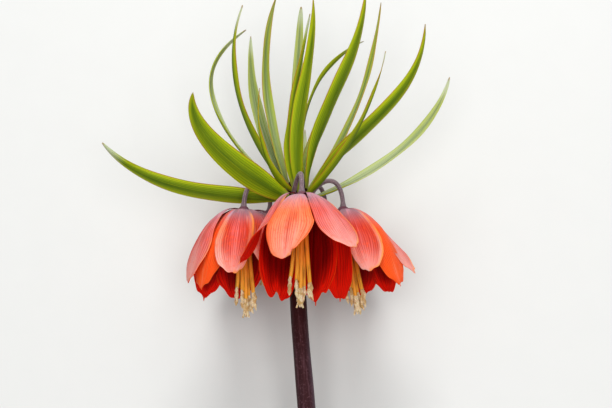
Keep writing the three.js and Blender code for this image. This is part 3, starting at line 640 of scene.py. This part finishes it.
def spaced(route, count):
    """Points at even steps along a smooth curve through the route's points."""
    route = np.array(route, float)
    chords = np.concatenate([[0], np.cumsum(np.sqrt(np.linalg.norm(np.diff(route, axis=0), axis=1)))])
    slopes = np.gradient(route, chords, axis=0)
    u = np.linspace(0, 1, CURVE_STEPS, endpoint=False)[:, None]
    fine = []
    for i, step in enumerate(np.diff(chords)):
        fine.append(
            (1 + 2 * u) * (1 - u) ** 2 * route[i] + u * (1 - u) ** 2 * step * slopes[i]
            + u * u * (3 - 2 * u) * route[i + 1] + u * u * (u - 1) * step * slopes[i + 1]
        )
    fine = np.concatenate([*fine, route[-1:]])
    run = np.concatenate([[0], np.cumsum(np.linalg.norm(np.diff(fine, axis=0), axis=1))])
    even = np.linspace(0, run[-1], count)
    return np.stack([np.interp(even, run, axis) for axis in fine.T], axis=1)


def add_object(name, data):
    made = bpy.data.objects.new(name, data)
    bpy.context.scene.collection.objects.link(made)
    return made


class Patchwork:
    """Gathers closed solids into one mesh, with the values along, across, rim and tone on its points."""

    def __init__(self):
        self.points, self.faces, self.skins = [], [], []
        self.values = {name: [] for name in MESH_VALUES}
        self.count = 0

    def add(self, points, faces, skins, **values):
        points = np.asarray(points).reshape(-1, 3)
        self.points.append(points)
        self.faces += [[self.count + i for i in face] for face in faces]
        self.skins += skins
        for name, store in self.values.items():
            value = np.asarray(values.get(name, 0.0), float).reshape(-1)
            store.append(np.broadcast_to(value, (len(points),)))
        self.count += len(points)

    def piece(self, name, materials, crease=50):
        """Makes the mesh, laid down, as a piece that rides on the plant's one body."""
        mesh = bpy.data.meshes.new(name)
        mesh.from_pydata(laid(np.concatenate(self.points)).tolist(), [], self.faces)
        for key, store in self.values.items():
            layer = mesh.attributes.new(key, "FLOAT", "POINT")
            layer.data.foreach_set("value", np.concatenate(store).astype(np.float32))
        for material in materials:
            mesh.materials.append(material)
        mesh.polygons.foreach_set("material_index", self.skins)
        mesh.shade_smooth()
        mesh.set_sharp_from_angle(angle=math.radians(crease))
        mesh.update()
        made = add_object(name, mesh)
        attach(made, "root")
        return made

    def blade(self, surface, half_width, length, rows, columns, thickness, tone):
        """A thin closed blade on surface(s, t), s from base to tip and t from -1 to 1 across, thinner at its
        rim. Its rows gather towards the tip, and its columns a little towards the margins. The first skin is
        on its outer or upper side, and the second on the other side and the rim."""
        s = (1 - np.linspace(1, 0, rows + 1) ** ROW_GATHER)[:, None] * np.ones(columns + 1)
        even = np.linspace(-1, 1, columns + 1)
        t = ((even + np.sin(even * math.pi / 2)) / 2)[None, :] * np.ones((rows + 1, 1))
        middle = surface(s, t)
        normal = unit(np.cross(np.gradient(middle, axis=0), np.gradient(middle, axis=1)))
        width = half_width(s)
        rim = np.minimum((1 - np.abs(t)) * width, (1 - s) * length)
        thinning = smooth(rim / (RIM_REACH * width.max()))
        half = (thickness / 2 * (RIM_THICKNESS + (1 - RIM_THICKNESS) * thinning))[..., None]

        per_row = columns + 1
        under = (rows + 1) * per_row
        faces, kinds = [], []
        for i in range(rows):
            for j in range(columns):
                a = i * per_row + j
                b, c, d = a + per_row, a + per_row + 1, a + 1
                faces += [(a, b, c, d), (under + a, under + d, under + c, under + b)]
                kinds += [0, 1]
        edge = list(range(per_row))
        edge += [i * per_row + columns for i in range(1, rows + 1)]
        edge += [rows * per_row + j for j in range(columns - 1, -1, -1)]
        edge += [i * per_row for i in range(rows - 1, 0, -1)]
        for a, b in zip(edge, edge[1:] + edge[:1]):
            faces.append((a, b, under + b, under + a))
            kinds.append(1)

        along, across, rim = (np.concatenate([value, value]) for value in (s, t, rim))
        solid = np.concatenate([middle + normal * half, middle - normal * half])
        self.add(solid, faces, kinds, along=along, across=across, rim=rim, tone=tone)

    def tube(self, centres, radii, sides, skin, cap=None, tone=0.0, flat=1, span=(0, 1), rim=1):
        """A closed round solid along a line of points. flat squeezes its section to that share of the radius,
        cap is the skin of its first end, and along runs over the span. rim falls to 0 in the middle of the
        first end."""
        centres, radii = np.asarray(centres, float), np.asarray(radii, float)
        along = unit(np.gradient(centres, axis=0))
        side = np.array([1.0, 0, 0]) if abs(along[0][0]) < 0.9 else np.array([0, 0, 1.0])
        turns = np.linspace(0, 2 * math.pi, sides, endpoint=False)
        points = []
        for centre, radius, forward in zip(centres, radii, along):
            side = unit(side - forward * side.dot(forward))
            other = np.cross(forward, side)
            ring = np.outer(np.cos(turns), side) + np.outer(np.sin(turns) * flat, other)
            points.append(centre + ring * radius)
        points = np.concatenate([*points, centres[:1], centres[-1:]])

        rings = len(centres)
        start, end, last = rings * sides, rings * sides + 1, (rings - 1) * sides
        following = [(k + 1) % sides for k in range(sides)]
        faces = [
            (i * sides + k, i * sides + after, (i + 1) * sides + after, (i + 1) * sides + k)
            for i in range(rings - 1) for k, after in enumerate(following)
        ]
        kinds = [skin] * len(faces)
        for k, after in enumerate(following):
            faces += [(start, after, k), (end, last + k, last + after)]
            kinds += [skin if cap is None else cap, skin]

        s = np.repeat(np.linspace(*span, rings), sides)
        t = np.tile(np.abs(np.linspace(-1, 1, sides, endpoint=False)), rings)
        self.add(
            points, faces, kinds, along=np.append(s, span), across=np.append(t, [0, 0]),
            rim=np.append(np.full(len(s), float(rim)), [0, rim]), tone=tone,
        )


# ------------------------------ pieces


def hang(lean):
    """Turns a bell's own directions, mouth down, to the way it hangs."""
    right, front = (math.radians(v) for v in lean)
    return np.array(Matrix.Rotation(-front, 3, "X") @ Matrix.Rotation(right, 3, "Z"))


def build_stem(look):
    line = spaced(STEM_ROUTE, STEM_RINGS)
    s = np.linspace(0, 1, STEM_RINGS)
    swellings = 1 + 0.012 * np.sin(s * 47) + 0.01 * np.sin(s * 19 + 1)
    heights, crown_radii = np.array(CROWN).T
    rings = np.linspace(heights[0], heights[-1], CROWN_RINGS)
    radii = [np.linspace(*STEM_RADII, STEM_RINGS) * swellings, np.interp(rings, heights, crown_radii)]
    work = Patchwork()
    work.tube(np.concatenate([line, np.outer(rings, UP)]), np.concatenate(radii), look.sides, 0, cap=1)
    made = work.piece("flower_stem", [stem_skin(look), cut_face(look)])
    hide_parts("stem")


def build_stalk(name, skin):
    right, height, front = BELLS[name]["at"]
    turn, reach = math.atan2(right, front), math.hypot(right, front)
    s = np.linspace(0, 1, STALK_RINGS)
    root_height, root = STALK_ROOT
    radius = bezier(s, root, *(share * reach for share in STALK_REACHES), reach)
    rise = bezier(s, root_height, *STALK_PULLS, height + RECEPTACLE_HEIGHT / 2 - STALK_SINK)
    drift = STALK_DRIFT.get(name, 0) * (1 - smooth(s / 0.75))
    centres = np.outer(radius, outward(turn)) + np.outer(drift, sideways(turn)) + np.outer(rise, UP)
    radii = STALK_RADIUS + STALK_FOOT * (1 - smooth(s / 0.18)) + STALK_COLLAR * smooth((s - 0.95) / 0.05)
    work = Patchwork()
    work.tube(centres, radii, STALK_SIDES, 0)
    made = work.piece(f"stalk_{name}", [skin])
    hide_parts(f"pedicel_{name}")


def heart(name):
    """The point, level with the crown, under which a bell presses on its neighbours."""
    bell = BELLS[name]
    middle = hang(bell["lean"]) @ (UP * -HEART_DEPTH) + np.array(bell["at"])
    return middle * np.array([1, 0, 1])


def give(distance):
    """Distances under the start of the press shrink, and never reach nothing."""
    pressed = PRESS_START * np.exp((distance - PRESS_START) / PRESS_START)
    return np.where(distance > PRESS_START, distance, pressed)


def press(points, name):
    """Bells give way to their neighbours in the whorl and to the stem."""
    place, own = WHORL.index(name), heart(name)
    for step in (1, -1):
        other = heart(WHORL[(place + step) % len(WHORL)])
        normal = unit(own - other)
        distance = (points - (own + other) / 2) @ normal - PRESS_CLEAR
        points = points + (give(distance) - distance)[..., None] * normal
    from_stem = np.hypot(points[..., 0], points[..., 2])
    kept = STEM_CLEAR + give(from_stem - STEM_CLEAR)
    return points * np.stack([kept / from_stem, np.ones_like(kept), kept / from_stem], axis=-1)


def petal_half_width(s, greatest, pointed):
    """A narrow claw, widest past the middle, and a round end that a pointed petal draws out into a spur."""
    rising = greatest * (1 - np.maximum(0, 1 - s / PETAL_WIDEST) ** PETAL_FLARE)
    end = np.clip((s - PETAL_WIDEST) / (1 - PETAL_WIDEST), 0, 1)
    rounding = np.maximum(0, 1 - (end / (1 - 0.08 * pointed)) ** PETAL_ROUNDING)
    spur = SPUR_WIDTH * pointed * smooth(end * 2) * (1 - end ** 3) ** 0.5
    falling = greatest * rounding ** (0.5 + 0.15 * pointed) + spur
    return np.where(s < PETAL_WIDEST, np.maximum(CLAW_RADIUS, rising), np.maximum(0.05, falling))


def petal_shape(name, index):
    """A petal's surface, its half width along its length, and its length."""
    bell = BELLS[name]
    turn, tip_radius, tip_depth, greatest, lift, belly, twist, pointed, _ = bell["tepals"][index]
    outer = index % 2 == 0
    step = (WHORL_STEP if outer else -WHORL_STEP) + TUCKS.get((name, index), 0)
    facing, length = math.radians(turn), math.hypot(tip_radius, tip_depth)
    phase = turn * 0.37 + len(name)  # so that no two petals wave alike
    fold = 0.2 + 0.35 * abs(math.sin(phase * 2))
    common_end = (0.3 * math.sin(phase * 3), NO_TEAR, 0.025, 0)
    corner, tear, slant, torn = TEARS.get((name, index), common_end)
    split, split_depth = SPLITS.get((name, index), (0, 0))

    def half_width(s):
        return petal_half_width(s, greatest, pointed)

    def drawn_back(side):
        """How far the end stops short at a place across it, as a share of the length."""
        frill = FRILL * np.sin(side * 13 + phase)
        cleft = split_depth * np.exp(-(((side - split) / CLEFT_WIDTH) ** 2))
        return slant * np.abs(side - corner) + torn * smooth((side - tear) / TEAR_WIDTH + 0.5) + frill + cleft

    def surface(s, t):
        side = t * half_width(s) / greatest
        s = s - (drawn_back(side) - drawn_back(0)) * smooth((s - 0.5) / 0.4)
        radius = bezier(s, CLAW_RADIUS, SHOULDER_REACH, belly * length, tip_radius)
        depth = bezier(s, 0, -lift, BELLY_DEPTH * length, tip_depth)
        apart = step * np.minimum(1, 4 * s)

        # What the petal's surface does besides curving round the bell.
        body = smooth(s / 0.3)
        wave = MARGIN_WAVE * np.abs(t) ** 3 * smooth((s - 0.3) / 0.4)
        wave = wave * np.sin(s * 15 + phase + 2 * np.sign(t))
        pleat = fold * np.cos(side * (5 + math.sin(phase)) + phase) * body * (1 - smooth((s - 0.7) / 0.3))
        rib = RIB_HEIGHT * np.cos(t * RIBS * math.pi + phase) * body * (1 - s)
        flick = TIP_FLICK * pointed * smooth((s - 0.86) / 0.14) ** 2

        # Round the bell, and flat where a rolled tip turns one side outwards.
        curl = np.maximum(radius * (OUTER_CURL if outer else 1), LEAST_CURL)
        angle = side * greatest / curl
        rolled = smooth((s - 0.5) / 0.3) * (twist != 0)
        roll = math.radians(twist) * rolled
        sunk, off = curl * (1 - np.cos(angle)) * (1 - rolled), curl * np.sin(angle)
        out = radius + apart - sunk * np.cos(roll) + off * np.sin(roll) + wave + pleat + rib + flick
        points = (
            out[..., None] * outward(facing)
            + (off * np.cos(roll) + sunk * np.sin(roll))[..., None] * sideways(facing)
            + (-depth + apart / 2)[..., None] * UP
        )
        return press(points @ hang(bell["lean"]).T + np.array(bell["at"]), name)

    return surface, half_width, length


def build_bell(name, look, skins):
    bell = BELLS[name]
    work = Patchwork()
    for index, (*_, tone) in enumerate(bell["tepals"]):
        work.blade(*petal_shape(name, index), PETAL_ROWS, PETAL_COLUMNS, look.thickness, tone)
    heights, radii = np.array(RECEPTACLE).T
    centres = np.outer(heights, UP) @ hang(bell["lean"]).T + np.array(bell["at"])
    work.tube(centres, radii, RECEPTACLE_SIDES, 0, tone=0.2, span=(0, 0), rim=3)
    made = work.piece(f"bell_{name}", skins)
    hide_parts(f"tepals_{name}")


def build_stamens(name, skins):
    length, lean, spread = BELLS[name]["stamens"]
    turned, at = hang(lean), np.array(BELLS[name]["at"])

    def place(radius, turn, depth):
        return (np.outer(radius, outward(turn)) - np.outer(depth, UP)) @ turned.T + at

    thread, grainy = 0, 1  # the two skins
    top = RECEPTACLE_HEIGHT / 2
    work = Patchwork()
    s = np.linspace(0, 1, STAMEN_RINGS)

    # The ovary, the style and the three lobes of the stigma.
    ovary = place(0 * s, 0, top + OVARY_LENGTH * s)
    work.tube(ovary, OVARY_RADIUS - OVARY_TAPER * s ** 2, OVARY_SIDES, thread, tone=0.3)
    start, end = top + OVARY_LENGTH - STYLE_START, length - STYLE_SHORT
    style = place(0 * s, 0, start + (end - start) * s)
    work.tube(style, STYLE_RADIUS + 0 * s, THREAD_SIDES, thread, tone=0.5)
    for k in range(3):
        reach = 0.2 + STIGMA_SPREAD * s ** 1.3
        lobe = place(reach, 2 * math.pi * k / 3, length - STIGMA_LENGTH + STIGMA_LENGTH * s)
        work.tube(lobe, STIGMA_RADIUS - 0.2 * s ** 2, STIGMA_SIDES, grainy, tone=0.2)

    # The filaments, each with the two lobes of its anther.
    blunt = np.sqrt(np.maximum(0.03, 1 - np.abs(2 * s - 1) ** 2.6))
    for k, share in enumerate(FILAMENT_REACH):
        turn, tone = 2 * math.pi * (k + 0.2) / len(FILAMENT_REACH), k / 7
        reach, end = spread * share, length - ANTHER_LENGTH - FILAMENT_SHORT[k]
        line = place(FILAMENT_RING + (reach - FILAMENT_RING) * s ** 1.4, turn, top + (end - top) * s)
        radii = FILAMENT_RADIUS - FILAMENT_TAPER * s
        work.tube(line, radii, THREAD_SIDES, thread, tone=tone, flat=FILAMENT_FLAT)
        sag = ANTHER_SAG * math.sin(k * 2.4 + length)
        for lobe in (-1, 1):
            behind = lobe == k % 2 * 2 - 1
            fall = ANTHER_LENGTH + ANTHER_OVERLAP - (ANTHER_LAG if behind else 0)
            line = place(reach + 0.2 + sag * s * s, turn, end - ANTHER_OVERLAP + fall * s)
            splay = lobe * (0.45 + 0.5 * s ** 3) + 0.5 * sag * s + 0.2 * np.sin(s * 9 + k * 2)
            lumps = 1 + 0.22 * np.sin(s * 17 + k * 3 + lobe)
            line = line + np.outer(splay, sideways(turn + k * 1.7))
            work.tube(line, ANTHER_RADIUS * blunt * lumps, ANTHER_SIDES, grainy, tone=tone)
    made = work.piece(f"pollen_{name}", skins, crease=70)
    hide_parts(f"stamens_{name}")


def leaf_half_width(s, greatest, taper):
    """From a narrower base, through its greatest, to a tip that the taper makes blunt or fine."""
    rising = 1 - (1 - LEAF_BASE_SHARE) * (np.maximum(0, LEAF_WIDEST - s) / LEAF_WIDEST) ** 2
    falling = np.maximum(0, 1 - (np.maximum(0, s - LEAF_WIDEST) / (1 - LEAF_WIDEST)) ** 1.4) ** taper
    return np.maximum(0.12, greatest * np.where(s < LEAF_WIDEST, rising, falling))


def build_leaf(number, row, look, skins):
    tier, turn_degrees, greatest, taper, roll, fold, via = row
    height, radius = TIERS[tier]
    turn = math.radians(turn_degrees)
    points = [outward(turn) * (radius + LEAF_SPRING) + height * UP, *via]
    heading = math.atan2(via[1][0], via[1][2]) - turn
    heading = math.atan2(math.sin(heading), math.cos(heading))

    def half_width(s):
        return leaf_half_width(s, greatest, taper)

    def surface(s, t):
        along = unit(through(points, s + 0.01) - through(points, s - 0.01))
        facing = turn + heading * smooth(s / (LEAF_WIDEST * 1.2))
        side = np.stack([np.cos(facing), 0 * facing, -np.sin(facing)], axis=-1)
        side = unit(side - along * np.sum(side * along, axis=-1, keepdims=True))
        upper = np.cross(along, side)

        # Rolled about its middle line, by the roll at its base, middle and tip.
        bend = [(s - 0.5) * (s - 1) / 0.5, -4 * s * (s - 1), s * (s - 0.5) / 0.5]
        angle = np.radians(sum(weight * value for weight, value in zip(bend, roll)))[..., None]
        across = side * np.cos(angle) - upper * np.sin(angle)
        rise = upper * np.cos(angle) + side * np.sin(angle)

        # Channelled, with rippled margins and a sunk midrib.
        half = half_width(s)
        ripple = LEAF_RIPPLE * t ** 2 * np.sin(s * 17 + number * 2 + np.sign(t)) * smooth(4 * s)
        midrib = LEAF_MIDRIB * np.exp(-((t / 0.12) ** 2)) * smooth(6 * s) * (1 - s)
        lift = fold * half * np.abs(t) ** 1.4 + ripple - midrib
        return through(points, s) + across * (half * t)[..., None] + rise * lift[..., None]

    length = float(np.linalg.norm(np.diff(points, axis=0), axis=1).sum())
    tone = (number * 0.618) % 1  # a different one for each leaf
    work = Patchwork()
    work.blade(surface, half_width, length, LEAF_ROWS, LEAF_COLUMNS, look.thickness, tone)
    made = work.piece(f"leaf_blade_{number:02d}", skins)
    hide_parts(f"leaf_{number:02d}")


# ------------------------------ stage


def look_from(thing, place, target, up):
    """Puts a camera or light at a place, facing the target."""
    back = (Vector(place) - Vector(target)).normalized()
    right = Vector(up).cross(back).normalized()
    turn = Matrix((right, back.cross(right), back)).transposed()
    thing.matrix_world = Matrix.Translation(place) @ turn.to_4x4()


def add_light(name, power, size, place, target):
    data = bpy.data.lights.new(name, "AREA")
    data.energy, data.size = power, size
    look_from(add_object(name, data), place, target, (0, 0, 1))


def add_floor(look):
    mesh = bpy.data.meshes.new("floor")
    corners = [(FLOOR_REACH * x, FLOOR_REACH * y, 0) for x, y in ((-1, -1), (1, -1), (1, 1), (-1, 1))]
    mesh.from_pydata(corners, [], [(0, 1, 2, 3)])
    paper = Finish("floor_paper", Specular_IOR_Level=0.3)
    grain = paper.noise(paper.place(), scale=60.0, detail=4.0)
    paper.paint = paper.mix(grain, shade(look.floor, 0.97), look.floor)
    mesh.materials.append(paper.done(0.75 + grain * 0.1))
    floor = add_object("floor", mesh)


def build_stage(look):
    scene = bpy.context.scene
    add_floor(look)

    world = bpy.data.worlds.new("sky")
    world.use_nodes = True
    background = world.node_tree.nodes["Background"]
    background.inputs["Color"].default_value = opaque(look.sky_colour)
    background.inputs["Strength"].default_value = look.sky
    scene.world = world

    above, ahead = np.add(VIEW_CENTRE, (0, 1, 0)), np.add(VIEW_CENTRE, (0, 0, 1))
    target, upright, ahead = laid([VIEW_CENTRE, above, ahead])
    up, front = unit(upright - target), unit(ahead - target)
    rise = math.radians(VIEW_RISE)
    data = bpy.data.cameras.new("camera")
    data.sensor_width = SENSOR_WIDTH
    data.lens = SENSOR_WIDTH * look.distance / (VIEW_WIDTH * MILLIMETRE)
    camera = add_object("camera", data)
    look_from(camera, target + (front * math.cos(rise) - up * math.sin(rise)) * look.distance, target, up)
    scene.camera = camera

    add_light("head_light", look.head, HEAD_LIGHT_SIZE, HEAD_LIGHT, target)
    add_light("over_light", look.over, OVER_LIGHT_SIZE, OVER_LIGHT, target)
    scene.view_settings.view_transform = "Standard"


# ------------------------------ operators


class FRITILLARY_OT_stem(bpy.types.Operator):
    """Build the bare stem with its crown and cut end"""

    bl_idname = "fritillary.stem"
    bl_label = "Stem"
    bl_options = {"REGISTER", "UNDO"}

    def execute(self, context):
        build_stem(context.scene.fritillary.stem)
        return {"FINISHED"}


class FRITILLARY_OT_stalks(bpy.types.Operator):
    """Build the arched stalks that carry the bells"""

    bl_idname = "fritillary.stalks"
    bl_label = "Flower stalks"
    bl_options = {"REGISTER", "UNDO"}

    def execute(self, context):
        skin = stalk_skin(context.scene.fritillary.stem)
        for name in WHORL:
            build_stalk(name, skin)
        return {"FINISHED"}


class FRITILLARY_OT_bells(bpy.types.Operator):
    """Build the hanging bells, six petals each"""

    bl_idname = "fritillary.bells"
    bl_label = "Bells"
    bl_options = {"REGISTER", "UNDO"}

    def execute(self, context):
        look = context.scene.fritillary.petals
        skins = [petal_outside(look), petal_inside(look)]
        for name in WHORL:
            build_bell(name, look, skins)
        return {"FINISHED"}


class FRITILLARY_OT_stamens(bpy.types.Operator):
    """Build the stamens and the style in each bell"""

    bl_idname = "fritillary.stamens"
    bl_label = "Stamens"
    bl_options = {"REGISTER", "UNDO"}

    def execute(self, context):
        look = context.scene.fritillary.stamens
        skins = [filament_skin(look), anther_skin(look)]
        for name in WHORL:
            build_stamens(name, skins)
        return {"FINISHED"}


class FRITILLARY_OT_leaves(bpy.types.Operator):
    """Build the tuft of leaves over the flowers"""

    bl_idname = "fritillary.leaves"
    bl_label = "Leaves"
    bl_options = {"REGISTER", "UNDO"}

    def execute(self, context):
        look = context.scene.fritillary.leaves
        skins = [leaf_skin("leaf_upper", look, True), leaf_skin("leaf_under", look, False)]
        for number, row in enumerate(LEAVES, 1):
            build_leaf(number, row, look, skins)
        return {"FINISHED"}


class FRITILLARY_OT_stage(bpy.types.Operator):
    """Lay the floor and set the lights and the camera"""

    bl_idname = "fritillary.stage"
    bl_label = "Stage"
    bl_options = {"REGISTER", "UNDO"}

    def execute(self, context):
        build_stage(context.scene.fritillary.stage)
        return {"FINISHED"}


class FRITILLARY_PT_panel(bpy.types.Panel):
    """Lists what builds the plant"""

    bl_idname = "FRITILLARY_PT_panel"
    bl_label = "Crown imperial"
    bl_space_type = "VIEW_3D"
    bl_region_type = "UI"
    bl_category = "Fritillary"

    def draw(self, context):
        settings = context.scene.fritillary
        for operator, group in STEPS:
            box = self.layout.box()
            box.operator(operator.bl_idname)
            for name in getattr(settings, group).__annotations__:
                box.prop(getattr(settings, group), name)


STEPS = [
    (FRITILLARY_OT_stem, "stem"),
    (FRITILLARY_OT_stalks, "stem"),
    (FRITILLARY_OT_bells, "petals"),
    (FRITILLARY_OT_stamens, "stamens"),
    (FRITILLARY_OT_leaves, "leaves"),
    (FRITILLARY_OT_stage, "stage"),
]
CLASSES = [StemLook, PetalLook, StamenLook, LeafLook, StageLook, PlantSettings]
CLASSES += [operator for operator, _ in STEPS] + [FRITILLARY_PT_panel]


def register():
    for one in CLASSES:
        bpy.utils.register_class(one)
    bpy.types.Scene.fritillary = PointerProperty(type=PlantSettings)


def unregister():
    del bpy.types.Scene.fritillary
    for one in reversed(CLASSES):
        bpy.utils.unregister_class(one)


def main():
    register()
    for operator, _ in STEPS:
        area, name = operator.bl_idname.split(".")
        getattr(getattr(bpy.ops, area), name)()


if __name__ == "__main__":
    main()
